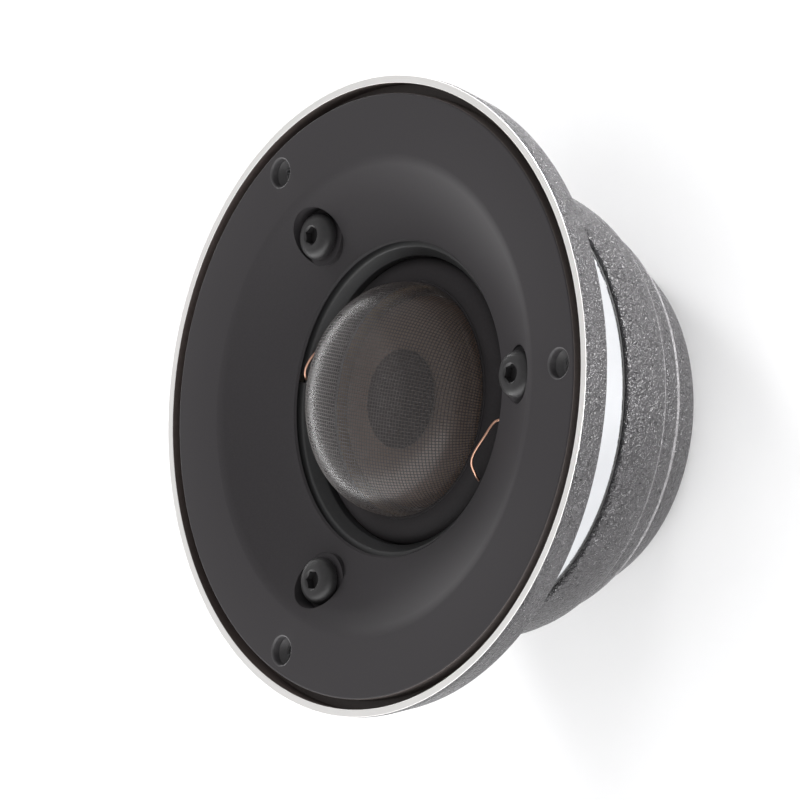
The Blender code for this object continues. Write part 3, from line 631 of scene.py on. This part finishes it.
def make_film(coat):
    """Thin glossy film that fills the weave, smooth outside."""
    shape = DomeShape()
    rows = 44
    length = shape.arcs[-1]
    arcs = [length * row / rows for row in range(1, rows + 1)]
    points, _ = shape.place(np.array(arcs), np.zeros(rows))
    apex = (0.0, DOME_BASE_Z + DOME_HEIGHT - WEAVE_INSET)
    outline = [apex, *[(point[0], point[2]) for point in points]]
    film = add_piece("dome_film", *lathe_mesh(outline, ROUND, closed=False), coat, sharp=180)
    settle(film, "diaphragm", "dome_weave", "dome")


def make_dome(thread):
    """Plain weave of flat threads laid over the dome, each passing over and under the ones it crosses."""
    shape = DomeShape()
    pitch = 0.42 * MM
    wide, thick, sway = 0.055 * MM, 0.02 * MM, 0.01 * MM
    weave_turn = math.radians(-13.6)
    reach = shape.arcs[-1] - 0.05 * MM
    count = int(reach / pitch)
    verts, faces = [], []
    section = [(0, 1), (1, 0), (0, -1), (-1, 0)]
    sides = len(section)
    base = 0
    for family in (0, 1):
        for number in range(-count, count + 1):
            across = number * pitch
            half = math.sqrt(reach ** 2 - across ** 2)
            crossings = int(half / (pitch / 2))
            along = np.linspace(-half, half, 2 * crossings + 1)
            offset = np.full_like(along, across)
            u, v = (along, offset) if family == 0 else (offset, along)
            points, normals = shape.place(np.hypot(u, v), np.arctan2(v, u) + weave_turn)
            wave = np.cos(np.pi * along / pitch) * (1 if (number + family) % 2 else -1)
            centre = points + normals * (wave * sway)[:, None]
            tangent = np.gradient(centre, axis=0)
            tangent /= np.linalg.norm(tangent, axis=1)[:, None]
            side = np.cross(tangent, normals)
            for out, up in section:
                verts.append(centre + side * (out * wide) + normals * (up * thick))
            knots = len(along)
            for corner in range(sides):
                after = (corner + 1) % sides
                for i in range(knots - 1):
                    faces.append((base + corner * knots + i, base + after * knots + i,
                                  base + after * knots + i + 1, base + corner * knots + i + 1))
            faces.append(tuple(base + corner * knots for corner in range(sides - 1, -1, -1)))
            faces.append(tuple(base + corner * knots + knots - 1 for corner in range(sides)))
            base += knots * sides
    cloth = add_piece("dome_weave", np.concatenate(verts), faces, thread, sharp=180)
    settle(cloth, "diaphragm", "dome_weave", "dome")


def make_collar(cloth):
    """Narrow cloth ring that closes the foot of the dome."""
    inner, outer = DOME_RADIUS - 0.25 * MM, DOME_RADIUS + 0.18 * MM
    bottom, top = DOME_BASE_Z - DOME_SKIRT, DOME_BASE_Z + 0.1 * MM
    fillet = 0.08 * MM
    corners = [(inner, bottom, 0), (outer, bottom, 0), (outer, top, fillet), (inner, top, fillet)]
    collar = turn("dome_collar", rounded(corners), cloth)
    settle(collar, "diaphragm", "coated_cloth")


def tube(name, points, radius, material, sides=16, per_span=8):
    """Round closed tube along a Catmull-Rom curve."""
    curve = bpy.data.curves.new(name, "CURVE")
    curve.dimensions = "3D"
    curve.bevel_depth = radius
    curve.bevel_resolution = sides // 4
    curve.use_fill_caps = True
    padded = [2 * points[0] - points[1], *points, 2 * points[-1] - points[-2]]
    route = []
    for i in range(1, len(padded) - 2):
        a, b, c, d = padded[i - 1:i + 3]
        for step in range(per_span):
            t = step / per_span
            route.append(0.5 * (2 * b + (c - a) * t + (2 * a - 5 * b + 4 * c - d) * t ** 2
                                + (3 * b - a - 3 * c + d) * t ** 3))
    route.append(points[-1])
    spline = curve.splines.new("POLY")
    spline.points.add(len(route) - 1)
    for knot, point in zip(spline.points, route):
        knot.co = (*point, 1.0)
    curve.materials.append(material)
    piece = bpy.data.objects.new(name, curve)
    bpy.context.scene.collection.objects.link(piece)
    return piece


def make_leads(copper):
    """Bare leads from the solder tabs through the frame's slots to the edge of the roll.

    Each knot is (radius, angle, height above the top of the frame) in millimetres and degrees.
    """
    wire_radius = 0.16 * MM
    start = [(18.9, LEAD_ANGLE, -0.5), (18.1, LEAD_ANGLE, -0.55)]
    routes = {
        "right": [*start, (17.3, -15.5, 0.0), (16.7, -22.5, 0.6), (15.9, -30.0, 0.6), (15.8, -35.0, 0.3),
                  (16.4, -39.0, -0.5), (16.6, -41.0, -1.2)],
        "left": [*start, (17.7, -15.0, 0.4), (17.4, -18.5, 0.85), (16.8, -24.0, 0.75), (16.1, -30.0, 0.1),
                 (16.2, -36.0, -0.6), (16.6, -41.0, -1.2)],
    }
    lip_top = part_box("diaphragm_frame")[1].z
    for side, turned in LEAD_TURNS.items():
        route = [polar(radius * MM, turned + angle, lip_top + lift * MM)
                 for radius, angle, lift in routes[side]]
        lead = tube("bare_lead_" + side, route, wire_radius, copper)
        settle(lead, "chassis", "copper_wire", "lead_wire_" + side)


def make_vent_felt(felt):
    """Thin felt disc on the copper cap, over the mouth of the pole's vent; its dark disc is partly painted
    shade, set where the vent's mouth shows dark through the dome.
    """
    radius, thick = 5.9 * MM, 0.4 * MM
    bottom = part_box("copper_cap")[1].z + 0.05 * MM
    top = bottom + thick
    corners = [(0.0, bottom, 0), (radius, bottom, 0), (radius, top, 0.15 * MM), (0.0, top, 0)]
    disc = turn("vent_felt", rounded(corners), felt, SMALL_ROUND)
    settle(disc, "chassis", "felt")


# ---------------------------------------------------------------- shell and cup

def bulged(start, end, bulge, rows=5):
    """Points between two ends of an outline, bowed outward."""
    points = []
    for row in range(1, rows):
        share = row / rows
        out = start[0] + (end[0] - start[0]) * share + 4 * bulge * share * (1 - share)
        points.append((out, start[1] + (end[1] - start[1]) * share, 0))
    return points


def make_shell(bright):
    """Polished shell whose band curves in a little toward the flange."""
    low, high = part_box("motor_shell")
    shoulder, waist, inner_step = BAND_BOTTOM_Z, 22.0 * MM, 25.7 * MM
    spigot, front_bore, bore = 26.0 * MM, 21.9 * MM, 24.9 * MM
    taper = 0.55 * MM
    rows = 16
    curve = [(SHELL_RADIUS - taper * (row / rows) ** 2, waist + (high.z - waist) * row / rows)
             for row in range(rows)]
    corners = [
        (spigot, low.z, 0.2 * MM),
        (spigot, shoulder, 0),
        (SHELL_RADIUS, shoulder, 0.12 * MM),
        *[(*point, 0) for point in curve],
        (SHELL_RADIUS - taper, high.z, 0.2 * MM),
        (front_bore, high.z, 0),
        (front_bore, inner_step, 0),
        (bore, inner_step, 0),
        (bore, low.z, 0),
    ]
    shell = turn("polished_shell", rounded(corners), bright)
    settle(shell, "chassis", "polished_metal", "motor_shell")


def make_gasket(rubber):
    """Thin ring of very dark rubber between the polished band and the cup; its dark line is partly painted
    shade for the gap there.
    """
    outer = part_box("cup_gasket")[1].x
    bottom, top = 18.02 * MM, 18.23 * MM
    fillet = 0.05 * MM
    corners = [(CUP_SOCKET_RADIUS, bottom, 0), (outer, bottom, fillet), (outer, top, fillet),
               (CUP_SOCKET_RADIUS, top, 0)]
    ring = turn("shell_gasket", rounded(corners), rubber)
    settle(ring, "chassis", "rubber", "cup_gasket")


RIDGE_FILLET = 0.5 * MM     # on the edges between the cup's bands, and on its rim


def cup_outside():
    """Outside of the cup from its front edge to its rim: a barrel and two bands behind rounded steps."""
    front = (27.7 * MM, CUP_FRONT_Z)
    first, second, last = (26.45 * MM, 10.95 * MM), (23.95 * MM, 6.5 * MM), (20.5 * MM, 1.2 * MM)
    inset, drop = 1.0 * MM, 0.05 * MM
    barrel_bulge, band_bulge = 0.45 * MM, 0.25 * MM
    return [
        (front[0] - 0.9 * MM, front[1], 0),
        (*front, 0.3 * MM),
        *bulged(front, first, barrel_bulge),
        (*first, RIDGE_FILLET),
        (first[0] - inset, first[1] - drop, 0),
        *bulged((first[0] - inset, first[1]), second, band_bulge),
        (*second, RIDGE_FILLET),
        (second[0] - inset, second[1] - drop, 0),
        *bulged((second[0] - inset, second[1]), last, band_bulge),
        (*last, 1.2 * MM),
        (18.9 * MM, 0.0, RIDGE_FILLET),
    ]


def make_cup(paint, crest_highlight):
    """Stepped cup with a well for the terminals, and paler paint along the edges of its steps as a painted
    highlight.
    """
    well, depth, wall = 11.0 * MM, 7.6 * MM, 1.4 * MM
    boss, floor = 12.4 * MM, 2.4 * MM
    ledge = 13.9 * MM
    corners = [
        *cup_outside(),
        (well, 0.0, 0.4 * MM),
        (well, depth, 0),
        (0.0, depth, 0),
        (0.0, depth + wall, 0),
        (boss, depth + wall, 0),
        (boss, floor, 0),
        (18.6 * MM, floor, 0),
        (20.9 * MM, 6.9 * MM, 0),
        (23.6 * MM, 11.4 * MM, 0),
        (24.4 * MM, ledge, 0),
        (CUP_SOCKET_RADIUS, ledge, 0),
        (CUP_SOCKET_RADIUS, CUP_FRONT_Z, 0),
    ]
    cup = turn("stepped_cup", rounded(corners), paint)
    cup.data.materials.append(crest_highlight)
    ridges = [corner[:2] for corner in cup_outside() if corner[2] == RIDGE_FILLET and corner[1] > 0]
    # Paler paint on the ridges between the bands is a painted highlight.
    coat_rings(cup.data, ridges, reach=0.8 * MM, index=1)
    seat_radius, seat_depth = 3.05 * MM, 2.3 * MM
    seat = [(0, -MM), (seat_radius, -MM), (seat_radius, seat_depth), (0, seat_depth)]
    carve(cup, [cutter_at(seat, CUP_SCREW_CIRCLE, angle) for angle in CUP_SCREW_ANGLES])
    settle(cup, "chassis", "cast_black", "rear_cup")


# ---------------------------------------------------------------- CAD nodes that stay

def paint_nodes(names, material):
    for name in names:
        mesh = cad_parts[name].data
        mesh.materials.clear()
        mesh.materials.append(material)


def paint_inside(felt):
    """Materials for the CAD nodes that no piece replaces."""
    steel = turned_metal("zinc_plated_steel", (0.55, 0.55, 0.54), 0.35, groove=0.0004, height=0.00001)
    paint_nodes(["yoke", "top_plate"], steel)
    ferrite = surface("ground_ferrite", (0.06, 0.06, 0.062), 0.65, grain=0.0005, bump=0.00002)
    paint_nodes(["magnet_ring"], ferrite)
    aluminium = turned_metal("turned_aluminium", (0.75, 0.75, 0.76), 0.3, groove=0.0003, height=0.00001)
    paint_nodes(["shorting_ring"], aluminium)
    copper = turned_metal("turned_copper", (0.78, 0.58, 0.47), 0.5, groove=0.0003, height=0.00001,
                          metallic=0.5)
    paint_nodes(["copper_cap"], copper)
    paint_nodes(["coil_former"], surface("former_film", (0.55, 0.38, 0.2), 0.45, grain=0.001))
    wire = turned_metal("enamelled_wire", (0.75, 0.35, 0.2), 0.3, groove=0.0002, height=0.00004)
    paint_nodes(["voice_coil"], wire)
    paint_nodes(["vent_damper", "felt_pad_1", "felt_pad_2", "felt_pad_3"], felt)
    tinned = surface("tinned_brass", (0.74, 0.71, 0.63), 0.3, metallic=1.0, grain=0.0015, variation=0.08,
                     bump=0.000004)
    paint_nodes(["terminal_positive", "terminal_negative", "solder_tab_left", "solder_tab_right",
                 "board_rivet_1", "board_rivet_2"], tinned)
    board = surface("phenolic_board", (0.16, 0.075, 0.03), 0.45, grain=0.0006, variation=0.3, bump=0.000008)
    paint_nodes(["terminal_board"], board)
    red = surface("red_insulation", (0.42, 0.02, 0.02), 0.45, grain=0.001)
    paint_nodes(["hookup_wire_positive"], red)
    black = surface("black_insulation", (0.02, 0.02, 0.02), 0.45, grain=0.001)
    paint_nodes(["hookup_wire_negative"], black)


def main():
    make_camera()
    make_studio()
    paint = wrinkle_paint("wrinkled_black", (0.028, 0.0265, 0.0285), 0.3)
    # Lighter copy of the wrinkled paint, a painted highlight for the cup's ridges.
    crest_highlight = wrinkle_paint("painted_crest_highlight", (0.16, 0.155, 0.16), 0.36)
    groove = surface("brown_groove", (0.085, 0.068, 0.063), 0.5, grain=0.0006, variation=0.25)
    bright = turned_metal("machined_land", (0.86, 0.845, 0.83), 0.38, groove=0.00012, height=0.000004,
                          metallic=0.55)
    make_flange(paint, bright, groove)
    plastic = surface("matt_plate", (0.036, 0.033, 0.0355), 0.6, grain=0.0002, variation=0.2,
                      bump=0.000004, shine=0.25)
    # Paler paint inside the mounting holes, which is painted light.
    hole_light = surface("hole_painted_light", (0.07, 0.067, 0.07), 0.45, grain=0.0003, variation=0.2)
    # Paler paint for the plate's outer wall, painted light that lifts its shade.
    edge = surface("plate_wall_painted_light", (0.1, 0.085, 0.08), 0.5, grain=0.0005, variation=0.25)
    make_plate(plastic, hole_light, edge)
    steel = surface("blackened_steel", (0.022, 0.021, 0.022), 0.42, grain=0.0005, variation=0.3,
                    bump=0.000006)
    plate_seat, cup_seat = POCKET_Z + 0.3 * MM, 2.1 * MM
    make_screws("plate_button_head", "plate_screw", PLATE_SCREW_CIRCLE, THIRDS, plate_seat, 1, steel)
    make_screws("cup_button_head", "cup_screw", CUP_SCREW_CIRCLE, CUP_SCREW_ANGLES, cup_seat, -1, steel)
    moulded = surface("moulded_black", (0.03, 0.03, 0.031), 0.42, grain=0.0004, variation=0.2, bump=0.000006)
    make_frame(moulded)
    cloth = surface("coated_cloth", (0.025, 0.0225, 0.024), 0.7, grain=0.0003, variation=0.25,
                    bump=0.00001, shine=0.2)
    make_surround(cloth)
    coat = surface("dome_varnish", (0.038, 0.035, 0.037), 0.28, grain=0.002, variation=0.2, rough_swing=0.04)
    coat.node_tree.nodes["Principled BSDF"].inputs["Alpha"].default_value = 0.66
    make_film(coat)
    make_dome(surface("dome_thread", (0.044, 0.036, 0.033), 0.42, grain=0.0008, variation=0.15))
    make_collar(cloth)
    make_leads(surface("bare_copper", (0.62, 0.36, 0.26), 0.35, metallic=1.0, grain=0.0006, variation=0.1))
    make_shell(turned_metal("polished_band", (0.78, 0.79, 0.81), 0.1, groove=0.0008, height=0.000001))
    # Very dark rubber, partly painted shade for the gap between the band and the cup.
    make_gasket(surface("gasket_rubber_and_painted_shade", (0.012, 0.012, 0.012), 0.7, grain=0.0005))
    make_cup(paint, crest_highlight)
    felt = surface("wool_felt", (0.018, 0.017, 0.017), 0.95, grain=0.0003, variation=0.35, bump=0.0001,
                   shine=0.2)
    make_vent_felt(felt)
    paint_inside(felt)


main()
